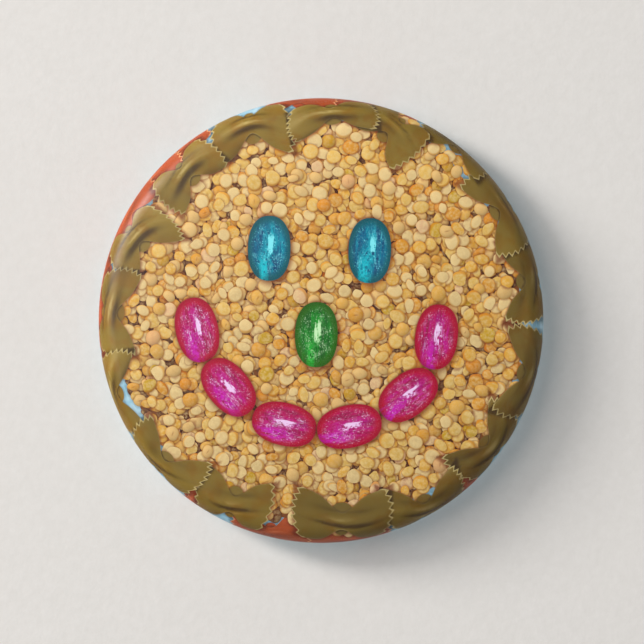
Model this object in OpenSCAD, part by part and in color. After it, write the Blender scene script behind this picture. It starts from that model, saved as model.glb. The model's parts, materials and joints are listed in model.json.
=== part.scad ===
// Round pin-back button badge. The badge stands upright: its face looks along -Y, its pin is on the +Y side,
// +Z is up. The origin is on the axis of the disc, halfway between the crown of the face and the back rim.
//
// The round pieces are drawn as (radius, depth) outlines, where depth 0 is the plane of the back rim and the face
// is at depth body_depth. The pin is drawn on the back plate in the same depth.

/* [Body] */
// Diameter of the badge across its face
face_d = 57.2; // [57:0.1:64]
// Depth of the body from the crown of the face to the back rim
body_depth = 5.6; // [5.6:0.1:7]
// How much the middle of the face stands above its shoulder
crown_rise = 1.0; // [0.5:0.1:1.0]
// Radius of the round shoulder between the face and the side
shoulder_r = 2.6; // [2.3:0.1:2.8]

/* [Layers] */
// Thickness of the clear film
film_t = 0.1; // [0.05:0.01:0.15]
// Thickness of the printed paper
paper_t = 0.12; // [0.08:0.01:0.16]
// Thickness of the tinplate front shell
shell_t = 0.3; // [0.2:0.02:0.34]

/* [Back rim] */
// Radius of the curl from the side into the back rim
rim_curl_r = 1.5; // [1.3:0.1:1.7]
// Radius of the curl from the back rim into the recess
lip_curl_r = 1.2; // [1.0:0.1:1.3]
// Width of the wrapped rim, seen from behind
rim_w = 4.2; // [3.8:0.1:4.6]
// Depth at which the lip of the wrapped rim grips the back plate
clamp_z = 1.9; // [1.8:0.05:2.1]

/* [Back plate] */
// Thickness of the back plate
plate_t = 0.3; // [0.24:0.02:0.34]
// Depth of the recess that holds the pin
recess_z = 3.0; // [3.0:0.05:3.1]
// Radius of the flat floor of the recess, as a share of the face's radius
floor_share = 0.72; // [0.70:0.01:0.73]
// Slope of the recess wall against the floor, in degrees
wall_slope = 40; // [30:1:55]

/* [Pin] */
// Diameter of the pin wire
wire_d = 0.8; // [0.7:0.05:0.8]
// Mean radius of the wire's coil
coil_r = 1.5; // [1.3:0.1:1.5]
// Lean of the coil away from the back plate, in degrees
coil_lean = 12; // [9:1:13]
// Height of the pin above the centre of the badge
pin_up = 7.5; // [5:0.5:8]
// Distance of the coil's centre from the badge's middle
coil_x = 16; // [14:0.5:16]
// Length of the straight shaft of the needle
shaft_len = 23; // [19:0.1:23]
// Length of the ground point of the needle
point_len = 5.4; // [4:0.1:5.6]

/* [Hidden] */
$fn = 72;

face_r = face_d / 2;
skin_t = film_t + paper_t + shell_t;
steps = 12;

// Face and shoulder: two arcs that are tangent where the crown meets the shoulder.
shoulder_x = face_r - shoulder_r;
shoulder_z = body_depth - crown_rise - shoulder_r;
crown_r = (shoulder_x * shoulder_x + crown_rise * crown_rise) / (2 * crown_rise) + shoulder_r;
crown_z = body_depth - crown_r;
crown_end = asin(shoulder_x / (crown_r - shoulder_r));

// Back rim: a curl in, a flat land at depth 0, and a curl forwards into the recess.
lip_r = face_r - rim_w;

// Back plate: bends of one radius, measured on the middle of the sheet.
bend_r = 0.6;
floor_r = face_r * floor_share;
plate_drop = recess_z - clamp_z;
wall_len = (plate_drop - 2 * bend_r * (1 - cos(wall_slope))) / sin(wall_slope);
flange_x = floor_r + 2 * bend_r * sin(wall_slope) + wall_len * cos(wall_slope);
edge_gap = 0.48;
edge_r = face_r - skin_t - edge_gap - plate_t / 2;
edge_reach = shoulder_r - skin_t;
edge_out = edge_r + plate_t / 2 - shoulder_x;
edge_clear = 0.06;
edge_top = shoulder_z + sqrt(edge_reach * edge_reach - edge_out * edge_out) - edge_clear;

// Pin wire: two turns of the coil lie one over the other with a hair between them.
wire_r = wire_d / 2;
wire_gap = 0.03;
turn_gap = 0.05;
turn_pitch = wire_d + turn_gap;
leg_z = recess_z - wire_gap - wire_r;
lower_turn_z = leg_z - coil_r * sin(coil_lean);
leg_len = 24;
turn_angle = 270;
root_angle = 8;
root_len = 2.6;
root_bend_r = 6;
shaft_x = root_len * cos(root_angle) + (root_bend_r - coil_r) * sin(root_angle);
shaft_out = coil_r * cos(root_angle) + root_len * sin(root_angle) + root_bend_r * (1 - cos(root_angle));
tip_r = 0.06;

// Height and depth of the needle's shaft at rest.
needle_y = pin_up - shaft_out * cos(coil_lean) + turn_pitch * sin(coil_lean);
needle_z = lower_turn_z - turn_pitch * cos(coil_lean) - shaft_out * sin(coil_lean);

// Lanced loops over the fixed leg, and the hook round the point of the needle.
loop_w = 2.4;
loop_r = wire_r + wire_gap;
loop_from_coil = [6.0, 19.0];
hook_r = 0.55;
hook_w = 3.6;
hook_open = 58;
hook_from_shaft = 1.2;
hook_window = 2.6;
hook_x = shaft_x - coil_x + shaft_len + hook_from_shaft;
cut = 1;

// Points of an arc whose angle is measured from the depth axis towards the rim.
function arc(centre, r, from, to) = [
    for (i = [0:steps])
        let (a = from + (to - from) * i / steps)
        centre + r * [sin(a), cos(a)]
];

function reversed(points) = [for (i = [len(points) - 1:-1:0]) points[i]];

// The skin's outline, d below its outer surface, from the crown of the face to the end of the lip.
function skin_line(d) = concat(
    arc([0, crown_z], crown_r - d, 0, crown_end),
    arc([shoulder_x, shoulder_z], shoulder_r - d, crown_end, 90),
    arc([face_r - rim_curl_r, rim_curl_r], rim_curl_r - d, 90, 180),
    arc([lip_r + lip_curl_r, lip_curl_r], lip_curl_r - d, 180, 270),
    [[lip_r + d, clamp_z]]
);

// The back plate's outline, d in front of the middle of its sheet, from its centre to its upturned edge.
function plate_line(d) = concat(
    [[0, recess_z + plate_t / 2 + d]],
    arc([floor_r, recess_z + plate_t / 2 - bend_r], bend_r + d, 0, wall_slope),
    arc([flange_x, clamp_z + plate_t / 2 + bend_r], d - bend_r, wall_slope, 0),
    arc([edge_r - bend_r, clamp_z + plate_t / 2 + bend_r], d - bend_r, 0, -90),
    [[edge_r - d, edge_top]]
);

// Turns what is drawn face up, with the back rim at 0, into the upright badge.
module upright() {
    translate([0, body_depth / 2, 0])
        rotate([90, 0, 0])
            children();
}

module skin_layer(outside, inside) {
    upright()
        rotate_extrude()
            polygon(concat(skin_line(outside), reversed(skin_line(inside))));
}

// The coil's own frame: its axis is local Z, which leans by coil_lean, and the needle swings towards local -Y.
module coil_frame() {
    upright()
        translate([-coil_x, pin_up, lower_turn_z])
            rotate([coil_lean, 0, 0])
                children();
}

// Extrudes a section along X. The section's X is depth, towards the face, and its Y is up.
module along_x(length) {
    rotate([0, 90, 0])
        mirror([1, 0, 0])
            linear_extrude(length)
                children();
}

module wire(length) {
    rotate([0, 90, 0])
        cylinder(h = length, r = wire_r);
}

module wire_arc(r, from, angle) {
    rotate([0, 0, from])
        rotate_extrude(angle = angle)
            translate([r, 0])
                circle(wire_r);
}

// Clear polyester film over the print, wrapped round the edge.
module mylar_film() {
    color([0.93, 0.95, 0.96, 0.25])
        skin_layer(0, film_t);
}

// Printed paper disc, wrapped round the edge under the film.
module printed_disc() {
    color([0.86, 0.66, 0.36])
        skin_layer(film_t, film_t + paper_t);
}

// Domed tinplate shell that film and paper are wrapped over.
module front_shell() {
    color([0.74, 0.75, 0.76])
        skin_layer(film_t + paper_t, skin_t);
}

// The section of a strap that is pushed up out of the plate over the fixed leg.
module loop_section() {
    difference() {
        union() {
            circle(loop_r + plate_t);
            translate([0, -loop_r - plate_t])
                square([recess_z - leg_z + plate_t / 2, 2 * (loop_r + plate_t)]);
        }
        circle(loop_r);
        translate([0, -loop_r])
            square([recess_z - leg_z + cut, 2 * loop_r]);
    }
}

module each_loop() {
    for (x = loop_from_coil)
        translate([x - coil_x, pin_up + coil_r * cos(coil_lean), leg_z])
            children();
}

// The hook's section: a wall above the needle that curls over it and stays open on the side it swings to.
module hook_section() {
    difference() {
        union() {
            circle(hook_r + plate_t);
            translate([0, hook_r])
                square([recess_z - needle_z + plate_t / 2, plate_t]);
        }
        circle(hook_r);
        rotate([0, 0, 180 + 90 - coil_lean])
            hook_mouth();
        translate([0, -hook_r - plate_t - cut])
            square([hook_r + plate_t + cut, hook_r + plate_t + cut + hook_r]);
    }
}

module hook_mouth() {
    reach = 2 * (hook_r + plate_t);
    polygon([
        [0, 0],
        reach * [cos(hook_open), sin(hook_open)],
        [reach, 0],
        reach * [cos(hook_open), -sin(hook_open)]
    ]);
}

// Dished tinplate back with its lanced loops and hook.
module back_plate() {
    color([0.68, 0.69, 0.70])
        upright() {
            difference() {
                rotate_extrude()
                    polygon(concat(plate_line(plate_t / 2), reversed(plate_line(-plate_t / 2))));
                each_loop()
                    translate([0, -loop_r, 0])
                        cube([loop_w, 2 * loop_r, recess_z + plate_t]);
                translate([hook_x, needle_y + hook_r - hook_window, recess_z - cut])
                    cube([hook_w, hook_window, plate_t + 2 * cut]);
            }
            each_loop()
                along_x(loop_w)
                    loop_section();
            translate([hook_x, needle_y, needle_z])
                along_x(hook_w)
                    hook_section();
        }
}

// The still half of the pin wire: the leg in the loops and the lower turn of the coil.
module pin_anchor() {
    color([0.80, 0.81, 0.83])
        coil_frame() {
            translate([0, coil_r, 0])
                wire(leg_len);
            wire_arc(coil_r, 90, turn_angle);
        }
}

// The needle from where it leaves the coil: the root, a bend, the shaft and the ground point.
module needle_leg() {
    wire(root_len);
    translate([root_len, root_bend_r, 0]) {
        wire_arc(root_bend_r, -90, root_angle);
        rotate([0, 0, root_angle])
            translate([0, -root_bend_r, 0]) {
                wire(shaft_len);
                translate([shaft_len, 0, 0])
                    rotate([0, 90, 0])
                        cylinder(h = point_len, r1 = wire_r, r2 = tip_r);
            }
    }
}

// The swinging half of the pin wire: the upper turn of the coil and the needle.
module pin_needle() {
    color([0.80, 0.81, 0.83])
        coil_frame()
            translate([0, 0, -turn_pitch]) {
                wire_arc(coil_r, -90 - root_angle - turn_angle, turn_angle);
                rotate([0, 0, -90 - root_angle])
                    translate([coil_r, 0, 0])
                        rotate([0, 0, 90])
                            needle_leg();
            }
}

mylar_film();
printed_disc();
front_shell();
back_plate();
pin_anchor();
pin_needle();
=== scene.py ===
"""Round pin-back button badge with a printed picture of a pasta, pea and foil-egg smile."""
import json
import math
import random

import bmesh
import bpy
import numpy as np
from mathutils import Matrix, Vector
from mathutils.geometry import delaunay_2d_cdt

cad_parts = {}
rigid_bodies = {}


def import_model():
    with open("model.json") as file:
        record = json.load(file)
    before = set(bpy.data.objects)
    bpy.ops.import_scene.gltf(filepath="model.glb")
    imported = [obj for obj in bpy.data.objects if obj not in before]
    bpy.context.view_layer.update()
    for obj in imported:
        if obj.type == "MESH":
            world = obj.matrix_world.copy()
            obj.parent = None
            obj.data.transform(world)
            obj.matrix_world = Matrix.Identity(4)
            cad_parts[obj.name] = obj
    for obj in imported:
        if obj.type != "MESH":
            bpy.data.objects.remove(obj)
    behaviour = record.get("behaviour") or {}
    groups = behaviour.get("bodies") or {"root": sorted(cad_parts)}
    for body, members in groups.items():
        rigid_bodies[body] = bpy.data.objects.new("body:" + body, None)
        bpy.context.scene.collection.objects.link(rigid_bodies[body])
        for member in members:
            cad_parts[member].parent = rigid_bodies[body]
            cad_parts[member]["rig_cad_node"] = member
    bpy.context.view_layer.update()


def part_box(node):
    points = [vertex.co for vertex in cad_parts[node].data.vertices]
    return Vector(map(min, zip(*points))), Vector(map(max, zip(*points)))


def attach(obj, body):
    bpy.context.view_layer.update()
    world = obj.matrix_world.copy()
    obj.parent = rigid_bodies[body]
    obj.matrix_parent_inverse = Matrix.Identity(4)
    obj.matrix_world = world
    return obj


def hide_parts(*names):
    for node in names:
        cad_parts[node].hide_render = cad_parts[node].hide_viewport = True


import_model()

# ---------------------------------------------------------------- sizes, in millimetres
MM = 0.001
film_low, film_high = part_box("mylar_film")
FACE_R = (film_high.x - film_low.x) / 2 / MM
DEPTH = (film_high.y - film_low.y) / MM

CROWN_RISE = 1.0
SHOULDER_R = 2.6
RIM_CURL_R = 1.5
LIP_CURL_R = 1.2
RIM_W = 4.2
CLAMP_Z = 1.9
FILM_T = 0.1
PAPER_T = 0.12
SHELL_T = 0.3
SKIN_T = FILM_T + PAPER_T + SHELL_T
HAIR = 0.02
PLEAT_DEPTH = 0.12

PLATE_T = 0.3
RECESS_Z = 3.0
FLOOR_R = 0.72 * FACE_R
WALL_SLOPE = math.radians(40)
PLATE_BEND_R = 0.6
PLATE_EDGE_GAP = 0.48
PLATE_EDGE_TOP = 3.2
BEAD_IN = 2.2
BEAD_HALF_W = 0.55
BEAD_H = 0.14

WIRE_R = 0.4
WIRE_SIDES = 22
COIL_R = 1.5
TURN_PITCH = 0.85
LEG_LEN = 24
ROOT_ANGLE = math.radians(8)
ROOT_LEN = 2.6
ROOT_BEND_R = 6
SHAFT_LEN = 23
POINT_LEN = 5.4
TIP_R = 0.06

COIL_LEAN = math.radians(12)
COIL_X = 16
PIN_UP = 7.5
WIRE_GAP = 0.03
LEG_Z = RECESS_Z - WIRE_GAP - WIRE_R
LOWER_TURN_Z = LEG_Z - COIL_R * math.sin(COIL_LEAN)
CROSSING = (math.radians(215), math.radians(335))
SWING_TURN = math.radians(400)
STILL_TURN = math.radians(410)
FULL_TURN = math.radians(532)
# The swinging half is a hair thicker where the two halves share the coil.
SWING_SWELL = 1.005
SHAFT_OFF_X = ROOT_LEN * math.cos(ROOT_ANGLE) + (ROOT_BEND_R - COIL_R) * math.sin(ROOT_ANGLE)
ROOT_DROP = ROOT_BEND_R * (1 - math.cos(ROOT_ANGLE))
SHAFT_OUT = COIL_R * math.cos(ROOT_ANGLE) + ROOT_LEN * math.sin(ROOT_ANGLE) + ROOT_DROP
NEEDLE_UP = PIN_UP - SHAFT_OUT * math.cos(COIL_LEAN) + TURN_PITCH * math.sin(COIL_LEAN)
NEEDLE_DEPTH = LOWER_TURN_Z - TURN_PITCH * math.cos(COIL_LEAN) - SHAFT_OUT * math.sin(COIL_LEAN)

LOOP_R = WIRE_R + WIRE_GAP
LOOP_W = 2.4
LOOP_FROM_COIL = (6.0, 19.0)
HOOK_R = 0.55
HOOK_W = 3.6
HOOK_WINDOW = 2.6
HOOK_TURN = math.radians(110)
HOOK_FROM_SHAFT = 1.2
HOOK_X = SHAFT_OFF_X - COIL_X + SHAFT_LEN + HOOK_FROM_SHAFT

# The light in the printed picture comes from its upper left.
PRINT_LIGHT = np.array([-0.42, 0.52, 0.74])
PRINT_LIGHT = PRINT_LIGHT / np.linalg.norm(PRINT_LIGHT)


# ---------------------------------------------------------------- the skin's section
class Skin:
    """The wrapped section of film, print and shell, by distance s along its outer surface."""

    def __init__(self):
        shoulder_x = FACE_R - SHOULDER_R
        shoulder_z = DEPTH - CROWN_RISE - SHOULDER_R
        crown_r = (shoulder_x ** 2 + CROWN_RISE ** 2) / (2 * CROWN_RISE) + SHOULDER_R
        crown_end = math.asin(shoulder_x / (crown_r - SHOULDER_R))
        lip_r = FACE_R - RIM_W
        quarter = math.pi / 2
        self.arcs = []
        self.length = 0.0
        self.crown_end = crown_end
        self.arc((0, DEPTH - crown_r), crown_r, 0, crown_end)
        self.face_s = self.length
        self.arc((shoulder_x, shoulder_z), SHOULDER_R, crown_end, quarter)
        self.straight((FACE_R, shoulder_z), quarter, shoulder_z - RIM_CURL_R)
        self.side_s = self.length
        self.arc((FACE_R - RIM_CURL_R, RIM_CURL_R), RIM_CURL_R, quarter, 2 * quarter)
        self.straight((FACE_R - RIM_CURL_R, 0), 2 * quarter, FACE_R - RIM_CURL_R - lip_r - LIP_CURL_R)
        self.arc((lip_r + LIP_CURL_R, LIP_CURL_R), LIP_CURL_R, 2 * quarter, 3 * quarter)
        self.straight((lip_r, LIP_CURL_R), 3 * quarter, CLAMP_Z - LIP_CURL_R)

    def arc(self, centre, r, start, end):
        """An arc whose angle is measured from the depth axis towards the rim."""
        self.arcs.append((self.length, self.length + r * (end - start), centre, r, start, end))
        self.length += r * (end - start)

    def straight(self, start, angle, length):
        """A straight whose outward normal is at angle."""
        self.arcs.append((self.length, self.length + length, start, 0.0, angle, angle))
        self.length += length

    def at(self, s, below=0.0):
        """Radius, depth and the normal's angle at s, that far below the outer surface."""
        s = np.asarray(s, float)
        below = np.broadcast_to(below, s.shape)
        radius, depth, normal = np.zeros_like(s), np.zeros_like(s), np.zeros_like(s)
        for low, high, (cx, cz), r, start, end in self.arcs:
            on = (s >= low - 1e-9) & (s <= high + 1e-9)
            share = (s[on] - low) / (high - low)
            angle = start + (end - start) * share
            along = share * (high - low) if r == 0 else 0.0
            radius[on] = cx + (r - below[on]) * np.sin(angle) + along * np.cos(angle)
            depth[on] = cz + (r - below[on]) * np.cos(angle) - along * np.sin(angle)
            normal[on] = angle
        return radius, depth, normal


skin = Skin()


def put_in_scene(name, data):
    made = bpy.data.objects.new(name, data)
    bpy.context.collection.objects.link(made)
    return made


def place(x, up, depth):
    """Row-frame metres for points of the badge, whose face is at the greatest depth."""
    return np.stack([x * MM, (DEPTH / 2 - depth) * MM, up * MM], axis=-1)


def pleat(angle, s):
    """How far the wrapped skin dips at its fine pleats, which grow from the side to the lip."""
    grow = np.clip((s - skin.side_s) / (skin.length - skin.side_s), 0, 1)
    wave = np.sin(83 * angle + 1.3 * np.sin(7 * angle)) * np.sin(31 * angle + 2.0) * np.sin(5 * angle + 0.7)
    return PLEAT_DEPTH * grow * np.clip(wave, 0, 1)


# ---------------------------------------------------------------- building materials
def rgb(*display):
    """A linear colour from display values of 0 to 255."""
    shares = [value / 255 for value in display]
    return tuple(v / 12.92 if v <= 0.04045 else ((v + 0.055) / 1.055) ** 2.4 for v in shares)


class Signal:
    """A node's output that arithmetic can be done on."""

    def __init__(self, paint, source):
        self.paint = paint
        self.source = source

    def __add__(self, other):
        return self.paint.math("ADD", self, other)

    def __sub__(self, other):
        return self.paint.math("SUBTRACT", self, other)

    def __rsub__(self, other):
        return self.paint.math("SUBTRACT", other, self)

    def __mul__(self, other):
        return self.paint.math("MULTIPLY", self, other)

    def __pow__(self, other):
        return self.paint.math("POWER", self, other)

    def __truediv__(self, other):
        return self.paint.math("DIVIDE", self, other)

    __radd__ = __add__
    __rmul__ = __mul__


class Paint:
    """A material and short ways to add nodes to it."""

    def __init__(self, name, **settings):
        self.material = bpy.data.materials.new(name)
        self.material.use_nodes = True
        self.tree = self.material.node_tree
        self.shader = self.tree.nodes["Principled BSDF"]
        for socket, value in settings.items():
            self.shader.inputs[socket.replace("_", " ")].default_value = value

    def node(self, kind, inputs=(), **settings):
        made = self.tree.nodes.new(kind)
        for key, value in settings.items():
            setattr(made, key, value)
        for key, value in dict(inputs).items():
            self.feed(made.inputs[key], value)
        return made

    def feed(self, socket, value):
        if isinstance(value, Signal):
            self.tree.links.new(value.source, socket)
        elif isinstance(value, tuple) and len(value) == 3 and socket.type == "RGBA":
            socket.default_value = (*value, 1)
        else:
            socket.default_value = value

    def signal(self, node, output=0):
        return Signal(self, node.outputs[output])

    def math(self, operation, a, b=0.0):
        return self.signal(self.node("ShaderNodeMath", {0: a, 1: b}, operation=operation))

    def vector(self, x, y, z):
        return self.signal(self.node("ShaderNodeCombineXYZ", {0: x, 1: y, 2: z}))

    def split(self, vector):
        parts = self.node("ShaderNodeSeparateXYZ", {0: vector})
        return [self.signal(parts, i) for i in range(3)]

    def fact(self, name):
        """The three numbers that the print carries under that name."""
        return self.split(self.signal(self.node("ShaderNodeAttribute", attribute_name=name), "Vector"))

    def tint(self):
        return self.signal(self.node("ShaderNodeAttribute", attribute_name="tint"), "Color")

    def where(self):
        """The place on the object, in metres."""
        return self.signal(self.node("ShaderNodeTexCoord"), "Object")

    def stretched(self, *scale):
        return self.signal(self.node("ShaderNodeMapping", {"Vector": self.where(), "Scale": scale}))

    def noise(self, vector, scale, detail=2.0, roughness=0.5):
        inputs = {"Vector": vector, "Scale": scale, "Detail": detail, "Roughness": roughness}
        return self.signal(self.node("ShaderNodeTexNoise", inputs), "Fac")

    def grain(self, *settings):
        """A noise that goes by the place on the object."""
        return self.noise(self.where(), *settings)

    def cells(self, vector, output="Distance"):
        return self.signal(self.node("ShaderNodeTexVoronoi", {"Vector": vector, "Scale": 1.0}), output)

    def smooth(self, value, low, high, to_low=0.0, to_high=1.0):
        inputs = {"Value": value, "From Min": low, "From Max": high, "To Min": to_low, "To Max": to_high}
        return self.signal(self.node("ShaderNodeMapRange", inputs, interpolation_type="SMOOTHSTEP"))

    def bell(self, value, centre, width):
        """1 at the centre, falling to 0 at that width on both sides."""
        return self.smooth(self.math("ABSOLUTE", value - centre), 0.0, width, 1.0, 0.0)

    def distance(self, x, y):
        return self.math("SQRT", x * x + y * y)

    def blend(self, share, a, b, mode="MIX"):
        made = self.node("ShaderNodeMix", data_type="RGBA", blend_type=mode)
        self.feed(made.inputs["Factor"], share)
        self.feed(made.inputs[6], a)
        self.feed(made.inputs[7], b)
        return self.signal(made, 2)

    def times(self, a, b):
        """One colour multiplied by another."""
        return self.blend(1.0, a, b, "MULTIPLY")

    def grey(self, value):
        return self.vector(value, value, value)

    def bump(self, height, strength, distance):
        inputs = {"Height": height, "Strength": strength, "Distance": distance}
        self.set("Normal", self.signal(self.node("ShaderNodeBump", inputs)))

    def set(self, name, value):
        self.feed(self.shader.inputs[name], value)


def inked(name):
    """The start of every printed material: satin ink on smooth paper."""
    return Paint(name, Roughness=0.45, Specular_IOR_Level=0.12)


def printed(p, colour, shade, grain):
    """The end of every printed material: its colour under that shade, with the print's fine grain."""
    dots = p.blend(p.grain(9000), (1 - grain,) * 3, (1 + grain,) * 3)
    p.set("Base Color", p.times(p.times(colour, p.grey(shade)), dots))
    return p.material


def pea_ink():
    """A split pea shows its flat pale cut face, its round golden back, or some of each."""
    p = inked("pea_ink")
    x, y, _ = p.fact("spot")
    gloom, luck, _ = p.fact("cue")
    turn_x, turn_y, _ = p.fact("turn")
    rough = p.grain(2400, 3.0, 0.6)
    mottle = p.grain(1000)
    r = p.distance(x, y)
    lean = p.smooth(luck, 0.40, 0.95) * 0.55
    off_x, off_y = x + turn_x * lean, y + turn_y * lean
    off = p.distance(off_x, off_y) + (rough - 0.5) * 0.14
    side = p.smooth(off - lean * 0.55, 0.72, 1.02)
    dome = p.smooth(luck, 0.24, 0.20)
    toward = x * float(PRINT_LIGHT[0]) + y * float(PRINT_LIGHT[1])
    round_lit = 0.98 + toward * 0.46 - p.smooth(r, 0.5, 1.05) * 0.14
    flat_lit = 1.01 + toward * 0.14 + (mottle - 0.5) * 0.30
    body = p.tint()
    golden = p.times(body, rgb(252, 214, 140))
    pale = p.blend(p.smooth(rough, 0.35, 0.7) * 0.50, body, rgb(238, 212, 150))
    colour = p.blend(p.math("MAXIMUM", side * 0.85, dome * 0.4), pale, golden)
    shade = p.blend(p.math("MAXIMUM", side, dome), p.grey(flat_lit), p.grey(round_lit))
    colour = p.times(colour, shade)
    dent = p.bell(x * turn_y - y * turn_x, 0.05, 0.16) * p.bell(x * turn_x + y * turn_y, 0.0, 0.55)
    keep = gloom * (1.0 - dent * p.smooth(luck, 0.06, 0.02) * 0.3)
    shadow = p.blend(1.0 - keep, (1.0, 1.0, 1.0), rgb(204, 98, 30))
    return printed(p, p.times(colour, shadow), 0.22 + keep * 0.78, 0.08)


def pasta_ink(name, rim, shadow, warmth):
    """Dough with a pale cut edge and warmer patches."""
    p = inked(name)
    along, across, edge = p.fact("spot")
    gloom, luck, _ = p.fact("cue")
    body = p.tint()
    streak = p.noise(p.vector(along * 3.0, across * 22.0, luck * 40.0), 1.0, 3.0)
    floury = p.times(body, (1.35, 1.30, 1.4))
    body = p.blend(p.smooth(streak, 0.3, 0.75) * 0.26, body, floury)
    mottle = p.grain(420, 3.0, 0.6)
    body = p.blend(p.smooth(mottle, 0.42, 0.66) * 0.75, body, p.times(body, warmth))
    body = p.blend(p.smooth(gloom, 0.90, 0.35) * 0.80, body, shadow)
    body = p.blend(p.smooth(gloom, 1.10, 1.6) * 0.45, body, rim)
    ragged = p.grain(2200)
    cut = p.smooth(edge + (ragged - 0.5) * 0.12, 0.24, 0.13)
    body = p.blend(cut * (0.58 + luck * 0.35), body, rim)
    return printed(p, body, 0.28 + gloom * 0.72, 0.09)


def foil_ink(name, base, edge, streak, glint, deep):
    """Crinkled foil: a broken highlight, a coloured glow at the lower left, long wrinkles and sparkles."""
    p = inked(name)
    along, across, _ = p.fact("spot")
    gloom, luck, _ = p.fact("cue")
    turn_x, turn_y, _ = p.fact("turn")
    seed = luck * 31.0
    u, v = along * EGG_HALF[0], across * EGG_HALF[1]
    out = p.distance(along, across)

    def grit(along_scale, across_scale, shift, detail=2.0):
        return p.noise(p.vector(u * along_scale, v * across_scale, seed + shift), 1.0, detail, 0.6)

    def thread(wrinkles):
        """Thin lines, where a noise passes its middle value."""
        return p.smooth(p.math("ABSOLUTE", wrinkles - 0.5), 0.030, 0.008)

    bands = grit(0.28, 1.9, 0.0)
    crease = grit(0.45, 4.2, 5.0)
    fine = grit(2.6, 3.6, 9.0, 3.0)
    patch = grit(0.9, 1.1, 13.0)
    lit_x = along * 0.66 + (fine - 0.5) * 0.30
    lit_y = across * 0.98 + (fine - 0.5) * 0.30 + (bands - 0.5) * 0.7
    nx = lit_x * turn_x - lit_y * turn_y
    ny = lit_x * turn_y + lit_y * turn_x

    def glow(cx, cy, width, length):
        """A reflection, stretched along the egg as a long body stretches it."""
        du = (nx - cx) * turn_x + (ny - cy) * turn_y
        dv = (ny - cy) * turn_x - (nx - cx) * turn_y
        far = p.math("SQRT", (du / length) ** 2.0 + (dv / width) ** 2.0)
        return p.smooth(far, 0.0, 1.0, 1.0, 0.0)

    colour = p.blend(p.smooth(bands, 0.52, 0.38) * 0.65, base, deep)
    colour = p.blend(p.smooth(bands, 0.52, 0.64) * p.smooth(out, 1.0, 0.6) * 0.30, colour, streak)
    colour = p.blend(p.smooth(out, 0.62, 0.92) * 0.9, colour, edge)
    broken = p.smooth(fine, 0.30, 0.56)
    colour = p.blend(glow(-0.26, -0.38, 0.40, 0.60) * (0.30 + broken * 0.70), colour, streak)
    colour = p.blend(glow(0.05, 0.06, 0.34, 0.60) * (0.20 + broken * 0.50), colour, streak)
    inner = p.smooth(out, 0.98, 0.66) * (0.30 + p.smooth(patch, 0.42, 0.58) * 0.70)
    grain = p.vector(u * 4.6, v * 5.4, seed)
    pick, _, _ = p.split(p.cells(grain, "Color"))
    dots = p.smooth(p.cells(grain), 0.36, 0.22) * p.smooth(pick, 0.50, 0.56)
    colour = p.blend(p.smooth(fine, 0.48, 0.38) * inner * 0.82, colour, deep)
    colour = p.blend(p.math("MAXIMUM", dots, thread(fine) * 0.20) * inner * 0.82, colour, glint)
    dash = thread(crease) * p.smooth(patch, 0.50, 0.60)
    colour = p.blend(dash * p.smooth(out, 0.9, 0.6) * 0.6, colour, glint)
    shine = glow(0.06, 0.08, 0.27, 0.46) + (fine - 0.5) * 0.9 + (dots - 0.4) * 0.22
    colour = p.blend(p.smooth(shine, 0.40, 0.70), colour, glint)
    return printed(p, colour, gloom * (1.0 - p.smooth(out, 0.84, 1.0) * 0.22), 0.06)


def ground_ink():
    p = inked("cloth_ink")
    gloom, _, _ = p.fact("cue")
    blotch = p.grain(700)
    colour = p.blend(p.smooth(blotch, 0.35, 0.65), rgb(150, 196, 216), rgb(182, 216, 230))
    return printed(p, colour, gloom, 0.06)


def crevice_ink():
    """The dark that shows between peas."""
    return printed(inked("crevice_ink"), rgb(120, 66, 26), 1.0, 0.12)


# ---------------------------------------------------------------- the printed picture
GROUND, ORANGE, CREVICE, PEA, GREEN, BLUE_EGG, GREEN_EGG, PINK_EGG = range(8)
PASTA = (ORANGE, GREEN)

# Foil eggs: ink, centre right and up of the badge's middle, the long axis in degrees.
EGG_PLACES = [
    (BLUE_EGG, -6.6, 9.2, 89),
    (BLUE_EGG, 6.2, 8.9, 88),
    (GREEN_EGG, -0.6, -1.8, 89),
    (PINK_EGG, -15.8, -1.2, 102),
    (PINK_EGG, 14.7, -2.1, 83),
    (PINK_EGG, -11.8, -8.5, -50),
    (PINK_EGG, 11.1, -9.5, 38),
    (PINK_EGG, -4.7, -13.2, -14),
    (PINK_EGG, 3.6, -13.5, 12),
]
# Half an egg's length and half its width.
EGG_HALF = (4.15, 2.72)
# Over 2 makes the ends blunter than an ellipse's.
EGG_BLUNTNESS = 2.3

# Green pasta bows round the edge: the middles of the two ends, right and up of the badge's middle, seen
# straight on, how far the pinch bends outwards, and the width at the ends. Later bows lie over earlier ones.
GREEN_BOWS = [
    (25.3, 9.8, 26.0, 0.2, 1.4, 6.4),
    (20.0, 18.5, 25.0, 9.3, 1.3, 6.4),
    (13.6, 25.0, 20.9, 19.4, 0.7, 6.0),
    (6.2, 27.2, 11.5, 21.3, 0.5, 7.0),
    (-13.4, 22.6, -4.1, 24.4, 1.5, 7.0),
    (-3.7, 24.5, 6.8, 26.2, 1.2, 4.4),
    (-19.2, 12.3, -25.4, 6.2, 2.0, 6.4),
    (-19.6, 15.2, -13.8, 21.7, 0.7, 5.8),
    (-25.1, 6.1, -25.8, -4.2, 1.5, 5.4),
    (-26.2, -4.4, -24.1, -14.0, 1.9, 5.4),
    (-15.3, -21.2, -6.8, -23.8, 1.0, 6.8),
    (-23.2, -13.8, -15.3, -20.1, 2.1, 5.8),
    (23.4, -11.2, 17.2, -18.9, 2.2, 5.8),
    (26.0, -1.2, 24.1, -11.8, 2.0, 6.0),
    (17.7, -20.9, 8.3, -24.0, 2.0, 6.4),
    (8.5, -24.4, -3.1, -24.1, 1.4, 6.8),
]
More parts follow.
